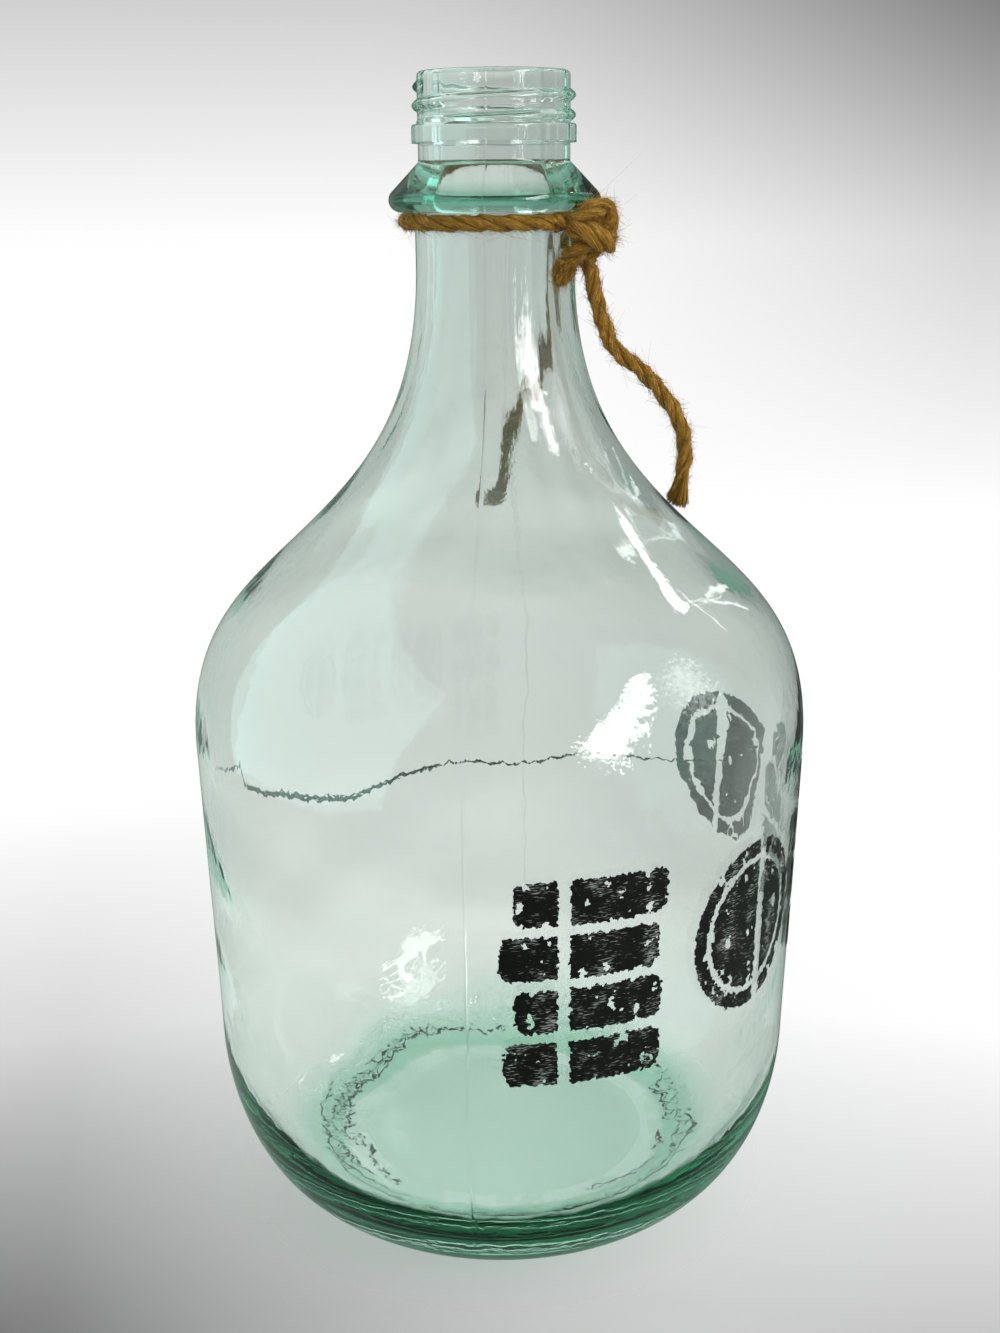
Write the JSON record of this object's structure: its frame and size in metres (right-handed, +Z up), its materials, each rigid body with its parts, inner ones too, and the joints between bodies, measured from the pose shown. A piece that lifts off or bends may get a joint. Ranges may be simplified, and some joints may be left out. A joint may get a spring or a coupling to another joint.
{
  "type": "glass coin bank jug",
  "caption": "Clear green-tinted glass jug with a narrow open neck and conical collar, used as a coin bank, with jute twine knotted round the neck.",
  "frame": {"origin": "middle of the foot, on the plane that the jug stands on", "axes": "+Z up along the jug's own axis to the mouth, -Y towards the pictured side, +X to the picture's right"},
  "size_m": [0.1828, 0.1828, 0.335],
  "materials": {
    "glass": "fire-polished soda-lime glass with a pale green tint, thin in the body and thick in the heel and the finish",
    "jute": "matte three-ply twisted jute twine"
  },
  "bodies": {
    "jug": {"glass_jug": "glass"},
    "twine": {"twine_neck_loop": "jute", "twine_knot": "jute", "twine_bight": "jute", "twine_tail": "jute", "twine_back_end": "jute"}
  },
  "joints": [
    {"name": "twine_turn", "type": "hinge", "parent": "jug", "child": "twine", "pos_m": [0, 0, 0.2955], "axis": [0, 0, 1], "continuous": true}
  ]
}
